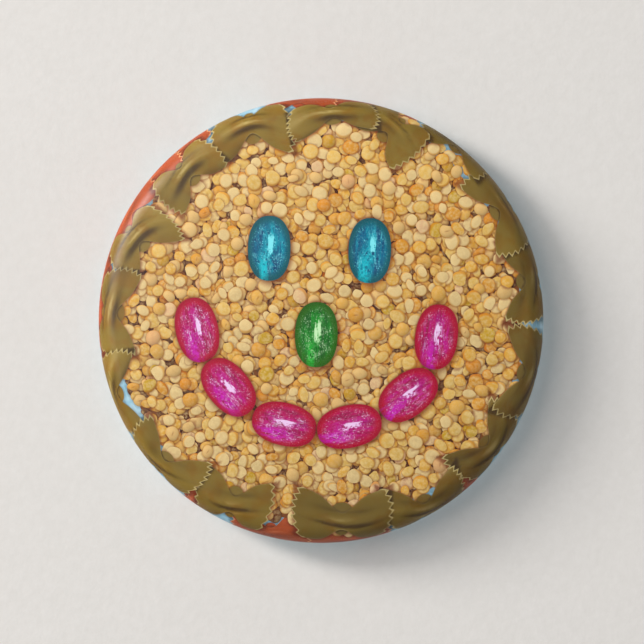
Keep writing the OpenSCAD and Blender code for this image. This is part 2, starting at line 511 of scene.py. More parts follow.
# Orange pasta bows under them: the middle on the flat sheet, the long axis in degrees, length and width.
ORANGE_BOWS = [
    (8.6, 28.2, 130, 8.6, 5.2),
    (5.4, 29.6, 4, 8.0, 5.0),
    (-2.6, 29.2, -8, 9.0, 5.6),
    (-18.4, 22.0, 62, 9.0, 5.6),
    (-22.2, 18.2, 44, 10.0, 5.2),
    (-25.2, 14.2, 66, 10.0, 6.2),
    (-28.6, 6.6, 82, 8.0, 5.0),
    (-29.0, 0.6, 94, 8.0, 5.0),
    (-28.0, -4.8, 80, 7.0, 4.4),
    (-16.6, -23.2, 60, 8.0, 5.0),
    (-6.4, -27.6, 2, 10.4, 6.4),
    (3.8, -28.6, -4, 10.4, 6.0),
    (17.4, -22.8, 58, 7.4, 4.2),
]
BOW_PINCH = 0.32
# A bow's pale cut edge is widest at its ends. SIDE_EDGE narrows it along the sides, and NO_EDGE keeps it off
# the folds under the bow.
SIDE_EDGE = 0.17
NO_EDGE = 1.0
# Single peas that lie outside the pile, in the notches of the bows.
STRAY_PEAS = [
    (9.6, 26.0), (10.9, 25.6), (10.3, 27.2), (11.9, 25.3), (3.5, -27.2), (2.2, -27.0),
    (17.6, 20.4), (15.2, 22.2), (18.7, 19.2), (16.4, 21.0), (14.3, 21.8), (17.3, 19.0), (15.5, 20.6),
]
PASTA_TINTS = {GREEN: rgb(128, 104, 39), ORANGE: rgb(176, 80, 39)}
# How much paler the bows are at the left and top of the picture than in its middle.
PASTA_FALL = {GREEN: 0.34, ORANGE: 0.08}
# How deep the folds of a bow look.
FOLD_DEPTH = {GREEN: 0.85, ORANGE: 0.5}

PEA_R = 0.86
PEA_CORNERS = 18
# Layers of the pile, from the bottom: spacing of the peas, share of their size.
PEA_LAYERS = [(1.25, 1.0), (1.45, 1.0), (1.75, 1.02), (2.3, 1.06)]
# The light that reaches each layer.
LAYER_LIGHT = [(0.20, 0.08, 0.03), (0.92, 0.86, 0.76), (1, 1, 1), (1, 1, 1)]
# Colours of the peas, each with the share of all peas up to and with it.
PEA_TINTS = [
    (0.42, rgb(229, 197, 136)),
    (0.70, rgb(226, 182, 92)),
    (0.86, rgb(223, 167, 62)),
    (0.94, rgb(219, 150, 42)),
    (0.97, rgb(202, 158, 34)),
    (1.00, rgb(226, 182, 134)),
]
PILE_R = 25.6
# Spacing of the extra points that carry the printed shade.
SEED_PITCH = 0.42
# Height of a row in a lattice of equal triangles.
LATTICE_ROW = 0.866


def on_sheet(x, y):
    """Where a point seen straight on lies on the flat sheet, which curves away over the shoulder."""
    r = math.hypot(x, y)
    flat_r = FACE_R - SHOULDER_R
    if r <= flat_r:
        return x, y
    turned = math.asin(min((r - flat_r) / SHOULDER_R, 0.98))
    share = (skin.face_s + SHOULDER_R * max(turned - skin.crown_end, 0)) / r
    return x * share, y * share


class Thing:
    """One thing in the picture: its ink, place, turn, half sizes and outline, in millimetres."""

    def __init__(self, ink, x, y, turn, half, outline, luck,
                 tint=(1, 1, 1), reach=0.0, dark=0.0, bend=0.0, teeth=0):
        self.ink = ink
        self.bend = bend
        self.teeth = teeth
        self.centre = np.array([x, y])
        self.axis = np.array([math.cos(turn), math.sin(turn)])
        self.half = np.array(half)
        self.luck = luck
        self.tint = tint
        self.reach = reach
        self.dark = dark
        side = np.array([-self.axis[1], self.axis[0]])
        across = outline[:, 1] + self.arch(outline[:, 0])
        self.outline = self.centre + outline[:, :1] * self.axis + across[:, None] * side

    def arch(self, along):
        """How far a bent thing's own middle line lies aside of its straight axis."""
        return self.bend * (1 - (along / self.half[0]) ** 2)

    def local(self, points):
        """The points along and across the thing, in millimetres."""
        d = points - self.centre
        along = d @ self.axis
        return pairs(along, d[:, 1] * self.axis[0] - d[:, 0] * self.axis[1] - self.arch(along))


def full_turn(steps):
    return np.linspace(0, 2 * math.pi, steps, endpoint=False)


def pairs(x, y):
    """One row for each point."""
    return np.stack([x, y], axis=1)


def oval(half, steps, power=2.0):
    """An oval outline; a power over 2 makes its ends blunter."""
    angle = full_turn(steps)
    c, s = np.cos(angle), np.sin(angle)
    r = (np.abs(c) ** power + np.abs(s) ** power) ** (-1 / power)
    return pairs(c * r * half[0], s * r * half[1])


def circle(r, steps=200):
    return oval((r, r), steps)


def lump(rng, half):
    """The outline of a split pea: an uneven oval, at times with a chipped side."""
    angle = full_turn(PEA_CORNERS)
    r = np.ones(PEA_CORNERS)
    for wave, size in ((2, 0.03), (3, 0.05), (4, 0.035), (5, 0.025)):
        r += rng.uniform(0, size) * np.cos(wave * angle + rng.uniform(0, 2 * math.pi))
    for _ in range(rng.choice((0, 0, 1, 2))):
        facing = np.cos(angle - rng.uniform(0, 2 * math.pi))
        r = np.where(facing > 0.1, np.minimum(r, rng.uniform(0.72, 0.92) / np.maximum(facing, 0.1)), r)
    return pairs(r * np.cos(angle) * half[0], r * np.sin(angle) * half[1])


def hump(x, width):
    """1 where x is 0, fading smoothly over that width."""
    return np.exp(-(x / width) ** 2)


def bow_width(along):
    """Half width of a bow as a share of its end's, by distance along it as a share of its half length."""
    a = np.clip(np.abs(along), 0, 1)
    return BOW_PINCH + (1 - BOW_PINCH) * (1 - hump(a, 0.32)) * (0.86 + 0.14 * a)


def bow_end(across, teeth):
    """How far a bow reaches, as a share of its half length: a bulging end that is cut in teeth."""
    wave = np.abs((across * teeth + teeth) % 2 - 1)
    return 0.86 + 0.18 * (1 - across ** 2) + 0.10 * (0.5 - wave)


def bow_outline(half, teeth):
    """A bow with two long sides that are notched at the pinch and two pinked ends."""
    side = np.linspace(-0.81, 0.81, 34)
    top = pairs(side * half[0], bow_width(side) * half[1])
    across = 1 - np.arange(2 * teeth + 1) / teeth
    end = pairs(bow_end(across, teeth) * half[0], across * bow_width(1.0) * half[1])
    return np.concatenate([top, end, -top, -end])[::-1]


def off_ridge(a, v, luck):
    """How far a point lies aside of a bow's wandering ridge."""
    return v - 0.22 * np.sin(3.0 * a + 9 * luck)


def bow_height(along, v, half, luck):
    """How high the folded dough stands: a ridge along its middle, a crease beside it and cupped wings."""
    a = along / half[0]
    t = v / (bow_width(a) * half[1])
    off = off_ridge(a, v, luck)
    fold = hump(a, 0.55)
    ridge = 0.30 * fold * hump(off, 0.62)
    crease = -0.26 * fold * hump(off - 0.85, 0.34)
    hollow = -0.20 * fold * hump(off + 1.0, 0.55)
    wing = 1 - hump(a, 0.35)
    ripple = 0.16 * wing * np.sin(2.6 * t + 11 * luck + 1.5 * a)
    return ridge + crease + hollow + ripple - 0.16 * wing * t ** 4 + 0.35 * math.cos(17 * luck) * a * wing * t


def bow_shade(points, thing):
    """The printed light and shade on a bow."""
    step = 0.06

    def height(shift):
        local = thing.local(points + shift)
        return bow_height(local[:, 0], local[:, 1], thing.half, thing.luck)

    dx, dy = ((height(shift) - height(-shift)) / (2 * step) for shift in step * np.eye(2))
    n = np.stack([-dx, -dy, np.ones_like(dx)], axis=1)
    n /= np.linalg.norm(n, axis=1)[:, None]
    lit = np.clip(n @ PRINT_LIGHT, 0, 1) / PRINT_LIGHT[2]
    local = thing.local(points)
    a = local[:, 0] / thing.half[0]
    off = off_ridge(a, local[:, 1], thing.luck)
    fold = hump(a, 0.6)
    crease = 0.32 * fold * hump(off - 0.60, 0.17)
    hollow = 0.20 * fold * hump(off + 1.1, 0.55) + 0.10 * hump(np.abs(a) - 0.42, 0.2)
    shine = 0.30 * fold * hump(off - 0.12, 0.30)
    shade = (1.04 * lit ** 1.3 + shine) * (1 - crease) * (1 - hollow)
    return np.clip(1 + (shade - 1) * FOLD_DEPTH[thing.ink], 0.40, 1.6)


def add_bow(things, rng, ink, x, y, turn, half, bend):
    luck = rng.random()
    vary = (0.90 + 0.14 * rng.random()) * (1 + PASTA_FALL[ink] * (0.6 * y - 0.7 * x) / FACE_R)
    tint = tuple(c * vary for c in PASTA_TINTS[ink])
    notch = BOW_PINCH * half[1]
    for side, size in ((-1, 1.0), (1, 0.6)):
        fold = (0.22 * half[0] * size, 0.30 * half[1] * size)
        off = bend + side * (notch + 0.10 * half[1] * size)
        fx, fy = x - off * math.sin(turn), y + off * math.cos(turn)
        dull = (tint[0], tint[1] * 1.03, tint[2] * 1.35)
        things.append(Thing(ink, fx, fy, turn, fold, oval(fold, 26), rng.random(), dull, 0.4, 0.5))
    teeth = rng.choice((6, 7, 7, 8))
    shape = bow_outline(half, teeth)
    things.append(Thing(ink, x, y, turn, half, shape, luck, tint, 0.42, 0.62, bend, teeth))


def add_green_bows(things, rng):
    for x1, y1, x2, y2, bend, width in GREEN_BOWS:
        one, two = np.array(on_sheet(x1, y1)), np.array(on_sheet(x2, y2))
        middle, run = (one + two) / 2, two - one
        if run[0] * middle[1] - run[1] * middle[0] < 0:
            run = -run
        turn = math.atan2(run[1], run[0])
        half = (float(np.linalg.norm(run)) / 2 + 0.35, width / 2)
        add_bow(things, rng, GREEN, middle[0], middle[1], turn, half, bend)


def add_orange_bows(things, rng):
    for x, y, angle, length, width in ORANGE_BOWS:
        add_bow(things, rng, ORANGE, x, y, math.radians(angle), (length / 2, width / 2), 0.0)


def add_strays(things, rng):
    for x, y in STRAY_PEAS:
        half = (PEA_R, PEA_R * rng.uniform(0.8, 1.0))
        x, y = on_sheet(x, y)
        turn, shape, luck = rng.uniform(0, math.pi), lump(rng, half), rng.random()
        things.append(Thing(PEA, x, y, turn, half, shape, luck, pea_tint(rng, y), 0.2, 0.5))


def pea_tint(rng, y):
    """A pea's own colour, a little darker towards the bottom of the picture."""
    pick = rng.random()
    tint = next(c for share, c in PEA_TINTS if pick <= share)
    vary = 0.90 + 0.14 * rng.random() + 0.10 * y / FACE_R
    return tuple(c * vary for c in tint)


def add_peas(things, rng, eggs):
    """A pile of split peas: jittered lattices, each pea with its own size, tilt and colour."""
    for layer, (spacing, size) in enumerate(PEA_LAYERS):
        rows = int(PILE_R / spacing * 1.3) + 2
        spin = 0.6 * layer
        steps = range(-rows, rows + 1)
        lattice = [(i + 0.5 * (j % 2), j * LATTICE_ROW) for j in steps for i in steps]
        rng.shuffle(lattice)
        for i, j in lattice:
            u = (i + rng.uniform(-0.34, 0.34)) * spacing
            v = (j + rng.uniform(-0.34, 0.34)) * spacing
            x = u * math.cos(spin) - v * math.sin(spin)
            y = u * math.sin(spin) + v * math.cos(spin)
            if math.hypot(x, y) > PILE_R + rng.uniform(-0.8, 0.6):
                continue
            spot = np.array([[x, y]])
            if any(np.linalg.norm(e.local(spot)[0] / e.half) < 0.72 for e in eggs):
                continue
            r = PEA_R * size * rng.uniform(0.80, 1.16)
            tilt = rng.random()
            squash = rng.uniform(0.88, 1.0) if tilt < 0.55 else rng.uniform(0.60, 0.88)
            half = (r, r * squash)
            shape = lump(rng, half)
            tint = tuple(c * share for c, share in zip(pea_tint(rng, y), LAYER_LIGHT[layer]))
            turn, luck = rng.uniform(0, math.pi), rng.random()
            things.append(Thing(PEA, x, y, turn, half, shape, luck, tint, 0.20, 0.5))


def picture():
    """Everything in the picture, from the lowest to the highest."""
    rng = random.Random(31)
    eggs = [
        Thing(ink, x, y, math.radians(turn), EGG_HALF, oval(EGG_HALF, 64, EGG_BLUNTNESS), rng.random(),
              reach=0.8, dark=0.72)
        for ink, x, y, turn in EGG_PLACES
    ]
    things = []
    add_orange_bows(things, rng)
    things.append(Thing(CREVICE, 0, 0, 0, (PILE_R, PILE_R), circle(PILE_R), 0))
    add_peas(things, rng, eggs)
    add_strays(things, rng)
    add_green_bows(things, rng)
    return things + eggs


def seeds():
    """Extra points that let shade and curvature vary inside the outlines."""
    rng = random.Random(5)
    spots = []
    reach = int(skin.side_s / SEED_PITCH)
    steps = range(-reach, reach + 1)
    for i in steps:
        for j in steps:
            x = (i + rng.uniform(-0.25, 0.25)) * SEED_PITCH
            y = (j + rng.uniform(-0.25, 0.25)) * SEED_PITCH
            if math.hypot(x, y) < skin.side_s:
                spots.append((x, y))
    return spots


def cut_sheet(things):
    """The flat sheet cut along every outline: points, triangles and the thing on top of each triangle."""
    points, faces, edges = [], [], []

    def add_points(spots):
        first = len(points)
        points.extend(Vector((float(x), float(y))) for x, y in spots)
        return list(range(first, len(points)))

    for outline in [circle(skin.length, 256), *(thing.outline for thing in things)]:
        faces.append(add_points(outline))
    rings = np.concatenate([
        np.linspace(skin.face_s, skin.side_s, 14),
        np.linspace(skin.side_s, skin.length, 16)[1:-1],
    ])
    for s in rings:
        ring = add_points(circle(s))
        edges.extend(zip(ring, ring[1:] + ring[:1]))
    add_points(seeds())
    made = delaunay_2d_cdt(points, edges, faces, 0, 1e-5, True)
    flat = np.array([(v.x, v.y) for v in made[0]])
    inside = [i for i, covers in enumerate(made[5]) if 0 in covers]
    triangles = np.array([made[2][i] for i in inside])
    owners = np.array([max(made[5][i]) - 1 for i in inside])
    return flat, triangles, owners


def outside_by(thing, points):
    """Roughly how far the points lie outside a thing, in millimetres."""
    local = thing.local(points)
    if thing.ink in PASTA and thing.half[0] > 2:
        along = local[:, 0] / thing.half[0]
        side = np.abs(local[:, 1]) - bow_width(along) * thing.half[1]
        return np.maximum(side, (np.abs(along) - 1.02) * thing.half[0])
    return (np.linalg.norm(local / thing.half, axis=1) - 1) * float(thing.half.mean())


def shadows(things, points, owners):
    """How much light each corner keeps under the shadows of the things that lie over its owner."""
    keep = np.ones(len(points))
    order = np.argsort(points[:, 0])
    xs = points[order, 0]
    shift = np.array([0.16, -0.20])
    for index, thing in enumerate(things):
        if thing.dark == 0:
            continue
        far = float(max(thing.half)) * 1.1 + thing.reach + 0.3
        near = order[np.searchsorted(xs, thing.centre[0] - far):np.searchsorted(xs, thing.centre[0] + far)]
        near = near[(owners[near] < index) & (np.abs(points[near, 1] - thing.centre[1]) < far)]
        if not len(near):
            continue
        falls = np.clip(1 - outside_by(thing, points[near] - shift * thing.reach) / thing.reach, 0, 1)
        touch = np.clip(1 - outside_by(thing, points[near]) / (0.45 * thing.reach), 0, 1)
        touch *= 0.6 if thing.ink == PEA else 1.0
        dark = thing.dark * np.maximum(falls ** 1.5 * 0.8, touch ** 1.2)
        keep[near] *= 1 - dark
    return np.clip(keep, 0.12, 1)


def corner_facts(things, flat, triangles, owners):
    """What the inks read at each triangle's corner.

    spot is the place within the thing and, on a bow, the distance to its cut edge; cue is the light and the
    thing's luck; turn is the way the thing points, or a pea's tilt; tint is its own colour.
    """
    corners = flat[triangles.reshape(-1)]
    owner = np.repeat(owners, 3)
    keep = shadows(things, corners, owner)
    count = len(corners)
    spot, cue, turn, tint = (np.zeros((count, 3)) for _ in range(4))
    cue[:, 0] = keep
    sort = np.argsort(owner, kind="stable")
    starts = np.searchsorted(owner[sort], np.arange(len(things) + 1))
    for index, thing in enumerate(things):
        mine = sort[starts[index]:starts[index + 1]]
        if not len(mine):
            continue
        here = corners[mine]
        local = thing.local(here)
        share = local / thing.half
        cue[mine, 1] = thing.luck
        turn[mine, :2] = thing.axis
        tint[mine] = thing.tint
        spot[mine, :2] = share
        if thing.ink == PEA:
            tip = 2 * math.pi * 7.3 * thing.luck
            turn[mine, :2] = (math.cos(tip), math.sin(tip))
            spot[mine, 0] = share[:, 0] * thing.axis[0] - share[:, 1] * thing.axis[1]
            spot[mine, 1] = share[:, 0] * thing.axis[1] + share[:, 1] * thing.axis[0]
        elif thing.ink in PASTA and thing.half[0] > 2:
            width = bow_width(share[:, 0]) * thing.half[1]
            across = np.clip(local[:, 1] * np.sign(share[:, 0]) / width, -1, 1)
            end = (bow_end(across, thing.teeth) - np.abs(share[:, 0])) * thing.half[0]
            spot[mine, 2] = np.minimum(width - np.abs(local[:, 1]) + SIDE_EDGE, end)
            cue[mine, 0] *= bow_shade(here, thing)
        elif thing.ink in PASTA:
            spot[mine, 2] = NO_EDGE
    return spot, cue, turn, tint


def put_attribute(mesh, name, values, kind="FLOAT_VECTOR", key="vector"):
    layer = mesh.attributes.new(name, kind, "CORNER")
    layer.data.foreach_set(key, np.asarray(values, np.float32).reshape(-1))


def build_print():
    """The printed paper: the picture cut into one smooth sheet, wrapped over the shell."""
    things = picture()
    flat, triangles, owners = cut_sheet(things)
    s = np.minimum(np.linalg.norm(flat, axis=1), skin.length)
    angle = np.arctan2(flat[:, 1], flat[:, 0])
    radius, depth, normal = skin.at(s, FILM_T + pleat(angle, s))
    mesh = bpy.data.meshes.new("printed_paper")
    where = place(radius * np.cos(angle), radius * np.sin(angle), depth)
    mesh.from_pydata(where.tolist(), [], triangles.tolist())
    spot, cue, turn, tint = corner_facts(things, flat, triangles, owners)
    for fact, values in (("spot", spot), ("cue", cue), ("turn", turn)):
        put_attribute(mesh, fact, values)
    opaque = np.ones((len(tint), 1))
    put_attribute(mesh, "tint", np.concatenate([tint, opaque], axis=1), "FLOAT_COLOR", "color")
    inks = {
        GROUND: ground_ink(),
        ORANGE: pasta_ink("orange_pasta_ink", rgb(250, 180, 124), rgb(150, 62, 28), (1.0, 0.82, 0.66)),
        CREVICE: crevice_ink(),
        PEA: pea_ink(),
        GREEN: pasta_ink("green_pasta_ink", rgb(196, 176, 116), rgb(84, 56, 18), (0.98, 0.74, 0.36)),
        BLUE_EGG: foil_ink("blue_foil_ink", rgb(0, 108, 144), rgb(10, 98, 106), rgb(10, 200, 214),
                           rgb(128, 240, 250), rgb(0, 54, 104)),
        GREEN_EGG: foil_ink("green_foil_ink", rgb(4, 112, 20), rgb(44, 106, 4), rgb(34, 188, 56),
                            rgb(204, 248, 190), rgb(6, 78, 18)),
        PINK_EGG: foil_ink("pink_foil_ink", rgb(190, 0, 94), rgb(186, 0, 42), rgb(208, 14, 184),
                           rgb(250, 212, 250), rgb(140, 0, 58)),
    }
    for ink in sorted(inks):
        mesh.materials.append(inks[ink])
    ink_of = np.array([GROUND] + [t.ink for t in things])
    mesh.polygons.foreach_set("material_index", ink_of[owners + 1].astype(np.int32))
    mesh.polygons.foreach_set("use_smooth", np.ones(len(triangles), bool))
    mesh.update()
    out = np.stack([np.sin(normal) * np.cos(angle), -np.cos(normal), np.sin(normal) * np.sin(angle)], axis=1)
    mesh.normals_split_custom_set_from_vertices(out.tolist())
    paper = put_in_scene("printed_paper", mesh)
    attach(paper, "badge")
    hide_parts("printed_disc")


# ---------------------------------------------------------------- round pieces
def revolve(name, outline, material, dip=None, steps=288):
    """A closed ring or disc turned from an outline of (radius, depth) points, smooth where the outline is."""
    angle = full_turn(steps)
    verts, faces, rows = [], [], []
    for index, (radius, depth) in enumerate(outline):
        if radius < 1e-6:
            rows.append([len(verts)] * steps)
            verts.append(place(0.0, 0.0, depth))
            continue
        rows.append(list(range(len(verts), len(verts) + steps)))
        r, z = np.full(steps, radius), np.full(steps, depth)
        if dip is not None:
            r, z = dip(index, angle, r, z)
        verts.extend(place(r * np.cos(angle), r * np.sin(angle), z))
    for a, b in zip(rows, rows[1:] + rows[:1]):
        for i in range(steps):
            j = (i + 1) % steps
            face = [a[i], a[j], b[j], b[i]]
            face = [v for k, v in enumerate(face) if v != face[k - 1]]
            if len(face) > 2:
                faces.append(face)
    return new_piece(name, verts, faces, material)


# Edges that turn by more than this many degrees stay sharp.
SHARP = 35


def new_piece(name, verts, faces, material, sharp=SHARP):
    """A mesh object made from points and faces, shaded smooth up to that angle."""
    mesh = bpy.data.meshes.new(name)
    mesh.from_pydata([tuple(v) for v in verts], [], faces)
    mesh.materials.append(material)
    made = put_in_scene(name, mesh)
    tidy_normals(made, sharp)
    return made


def headings(path):
    """The direction in which a path runs, at each of its points."""
    ahead = np.gradient(path, axis=0)
    return ahead / np.linalg.norm(ahead, axis=1)[:, None]


def tube_faces(rings, sides):
    """The faces of a tube through rings of points, with closed ends."""
    faces = []
    for i in range(rings - 1):
        for j in range(sides):
            k = (j + 1) % sides
            faces.append([i * sides + j, i * sides + k, (i + 1) * sides + k, (i + 1) * sides + j])
    faces.append(list(range(sides)))
    faces.append(list(range((rings - 1) * sides, rings * sides)))
    return faces


def tidy_normals(obj, sharp=SHARP):
    """Outward faces, smooth shading and sharp edges where the surface really turns."""
    work = bmesh.new()
    work.from_mesh(obj.data)
    bmesh.ops.remove_doubles(work, verts=work.verts, dist=1e-7)
    bmesh.ops.recalc_face_normals(work, faces=work.faces)
    for edge in work.edges:
        edge.smooth = len(edge.link_faces) != 2 or edge.calc_face_angle(0) < math.radians(sharp)
    for face in work.faces:
        face.smooth = True
    work.to_mesh(obj.data)
    work.free()


def skin_outline(outside, inside):
    """The closed outline of one wrapped layer, between two depths below the outer surface."""
    s = np.unique(np.concatenate([
        np.linspace(0, skin.face_s, 14),
        np.linspace(skin.face_s, skin.side_s, 20),
        np.linspace(skin.side_s, skin.length, 34),
    ]))
    out = skin.at(s, outside)
    back = skin.at(s[::-1], inside)
    outline = np.concatenate([pairs(*out[:2]), pairs(*back[:2])])
    return outline, np.concatenate([s, s[::-1]])


def wrapped_layer(name, outside, inside, material, node):
    outline, s = skin_outline(outside, inside)
    normal = skin.at(s)[2]

    def dip(index, angle, r, z):
        depth = pleat(angle, np.full_like(angle, s[index]))
        return r - depth * math.sin(normal[index]), z - depth * math.cos(normal[index])

    layer = revolve(name, outline, material, dip=dip)
    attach(layer, "badge")
    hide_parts(node)


def clear_film():
    """Clear gloss film: a faint mirror over the print, uneven where it is scuffed."""
    p = Paint("clear_film", Metallic=1.0, Base_Color=(1, 1, 1, 1))
    scuff = p.noise(p.stretched(1, 1, 6), 900, 3.0)
    wave = p.grain(240)
    p.set("Roughness", p.smooth(scuff, 0.3, 0.8, 0.34, 0.46))
    p.set("Alpha", p.smooth(wave, 0.2, 0.8, 0.010, 0.016))
    p.bump(wave, 0.06, 0.0002)
    return p.material


def tinplate(name="tinplate"):
    """Bright rolled tinplate with long fine rolling lines and faint stains."""
    p = Paint(name, Metallic=1.0)
    lines = p.noise(p.stretched(0.12, 1, 6.0), 3800, 4.0, 0.65)
    cloud = p.grain(160, 4.0, 0.6)
    speck = p.smooth(p.grain(2300, 3.0, 0.7), 0.66, 0.78)
    colour = p.blend(cloud, rgb(182, 184, 186), rgb(214, 215, 216))
    colour = p.blend(p.smooth(lines, 0.35, 0.75) * 0.35, colour, rgb(236, 237, 238))
    p.set("Base Color", p.blend(speck * 0.35, colour, rgb(128, 124, 118)))
    p.set("Roughness", p.smooth(lines, 0.2, 0.8, 0.22, 0.36))
    p.bump(lines, 0.12, 0.00004)
    return p.material


def drawn_wire():
    """Plated spring wire with fine drawing lines."""
    p = Paint("spring_wire", Metallic=1.0)
    lines = p.noise(p.stretched(0.3, 5, 5), 3000, 3.0, 0.6)
    p.set("Base Color", p.blend(lines, rgb(196, 197, 200), rgb(232, 232, 234)))
    p.set("Roughness", p.smooth(lines, 0.25, 0.8, 0.14, 0.28))
    p.bump(lines, 0.08, 0.00003)
    return p.material


# ---------------------------------------------------------------- back plate
def plate_line(off):
    """The back plate's section, that far in front of the middle of its sheet."""
    bend = PLATE_BEND_R
    mid_floor, mid_flange = RECESS_Z + PLATE_T / 2, CLAMP_Z + PLATE_T / 2
    drop = mid_floor - mid_flange
    wall = (drop - 2 * bend * (1 - math.cos(WALL_SLOPE))) / math.sin(WALL_SLOPE)
    flange_x = FLOOR_R + 2 * bend * math.sin(WALL_SLOPE) + wall * math.cos(WALL_SLOPE)
    edge_r = FACE_R - SKIN_T - PLATE_EDGE_GAP - PLATE_T / 2

    def arc(cx, cz, r, start, end):
        a = np.linspace(start, end, 9)
        return pairs(cx + r * np.sin(a), cz + r * np.cos(a))

    bead = np.linspace(-1, 1, 13)
    bead_rise = BEAD_H * (np.cos(bead * math.pi) + 1) / 2
    ring = pairs(FLOOR_R - BEAD_IN + bead * BEAD_HALF_W, mid_floor + off - bead_rise)
    return np.concatenate([
        [[r, mid_floor + off] for r in (0, 6, 14)],
        ring,
        arc(FLOOR_R, mid_floor - bend, bend + off, 0, WALL_SLOPE),
        arc(flange_x, mid_flange + bend, off - bend, WALL_SLOPE, 0),
        arc(edge_r - bend, mid_flange + bend, off - bend, 0, -math.pi / 2),
        [[edge_r - off, PLATE_EDGE_TOP]],
    ])


def cut_out(obj, low, high):
    """Cuts a box, given by two corners as (right, up, depth) in millimetres, out of a piece."""
    work = bmesh.new()
    bmesh.ops.create_cube(work, size=1)
    low, high = np.array(low, float), np.array(high, float)
    for vert in work.verts:
        x, up, depth = low + (high - low) * (np.array(vert.co) + 0.5)
        vert.co = place(x, up, depth)
    bmesh.ops.recalc_face_normals(work, faces=work.faces)
    mesh = bpy.data.meshes.new("cutter")
    work.to_mesh(mesh)
    work.free()
    cutter = put_in_scene("cutter", mesh)
    cut = obj.modifiers.new("cut", "BOOLEAN")
    cut.operation, cut.solver, cut.object = "DIFFERENCE", "EXACT", cutter
    bpy.context.view_layer.update()
    result = bpy.data.meshes.new_from_object(obj.evaluated_get(bpy.context.evaluated_depsgraph_get()))
    obj.modifiers.clear()
    obj.data = result
    bpy.data.objects.remove(cutter)


def strap(path, x_low, x_high, material):
    """A strip of sheet that follows a path of (up, depth) points and runs along X, with rolled edges."""
    ahead = headings(path)
    side = pairs(-ahead[:, 1], ahead[:, 0])
    edge = 0.05
    width = [(x_low, -1, edge), (x_low + edge, -1, 0), (x_high - edge, -1, 0), (x_high, -1, edge),
             (x_high, 1, edge), (x_high - edge, 1, 0), (x_low + edge, 1, 0), (x_low, 1, edge)]
    verts = []
    for spot, out in zip(path, side):
        for x, sign, inset in width:
            up, depth = spot + out * sign * (PLATE_T / 2 - inset)
            verts.append(place(x, up, depth))
    return new_piece("strap", verts, tube_faces(len(path), len(width)), material, 50)


def turn_path(up, depth, r, start, end, steps=20):
    """Points of an arc as (up, depth), its angle measured from straight up towards the face."""
    a = np.linspace(start, end, steps)
    return pairs(up + r * np.cos(a), depth + r * np.sin(a))


def join(first, others):
    """Puts several meshes into the first object."""
    work = bmesh.new()
    for obj in [first, *others]:
        work.from_mesh(obj.data)
    work.to_mesh(first.data)
    work.free()
    for obj in others:
        bpy.data.objects.remove(obj)


def build_plate(material):
    """The dished back with its two lanced loops and its hook."""
    outline = np.concatenate([plate_line(PLATE_T / 2), plate_line(-PLATE_T / 2)[::-1]])
    plate = revolve("back_plate_stamping", outline, material)
    mid = RECESS_Z + PLATE_T / 2
    straps = []

    def lance(x, width, low, high, path):
        """Cuts a window in the floor and raises a strap over it."""
        cut_out(plate, (x, low, RECESS_Z - 1), (x + width, high, RECESS_Z + 1))
        straps.append(strap(path, x, x + width, material))

    up = PIN_UP + COIL_R * math.cos(COIL_LEAN)
    r = LOOP_R + PLATE_T / 2
    loop = np.concatenate([
        [[up + r, mid], [up + r, RECESS_Z]],
        turn_path(up, LEG_Z, r, 0, -math.pi),
        [[up - r, RECESS_Z], [up - r, mid]],
    ])
    for start in LOOP_FROM_COIL:
        lance(start - COIL_X, LOOP_W, up - LOOP_R, up + LOOP_R, loop)
    top = NEEDLE_UP + HOOK_R
    r = HOOK_R + PLATE_T / 2
    hook = np.concatenate([
        [[NEEDLE_UP + r, depth] for depth in (mid, RECESS_Z + 0.6 * (mid - RECESS_Z), NEEDLE_DEPTH + 0.3)],
        turn_path(NEEDLE_UP, NEEDLE_DEPTH, r, 0, -HOOK_TURN, 24),
    ])
    lance(HOOK_X, HOOK_W, top - HOOK_WINDOW, top, hook)
    tidy_normals(plate)
    join(plate, straps)
    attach(plate, "badge")
    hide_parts("back_plate")


# ---------------------------------------------------------------- pin wire
def from_coil(points):
    """The coil's own millimetres, whose Z is the coil's leaning axis, as row-frame metres."""
    c, s = math.cos(COIL_LEAN), math.sin(COIL_LEAN)
    x, y, z = np.asarray(points, float).T
    return place(x - COIL_X, y * c - z * s + PIN_UP, y * s + z * c + LOWER_TURN_Z)


def sweep(name, path, radii, material):
    """A tube along a path, with closed ends."""
    ahead = headings(path)
    side = np.cross(ahead[0], (0.0, 0.0, 1.0))
    side /= np.linalg.norm(side)
    angle = full_turn(WIRE_SIDES)
    verts = []
    for spot, along, r in zip(path, ahead, radii):
        side = side - along * (side @ along)
        side /= np.linalg.norm(side)
        up = np.cross(along, side)
        ring = spot + r * (np.cos(angle)[:, None] * side + np.sin(angle)[:, None] * up)
        verts.extend(from_coil(ring))
    return new_piece(name, verts, tube_faces(len(path), WIRE_SIDES), material)


def coil_spot(turned):
    """Points of the coil by the angle turned from the fixed leg, crossing between its two levels once."""
    turned = np.asarray(turned, float)
    share = np.clip((turned - CROSSING[0]) / (CROSSING[1] - CROSSING[0]), 0, 1)
    angle = np.pi / 2 + turned
    z = -TURN_PITCH * share * share * (3 - 2 * share)
    return np.stack([COIL_R * np.cos(angle), COIL_R * np.sin(angle), z], axis=1)


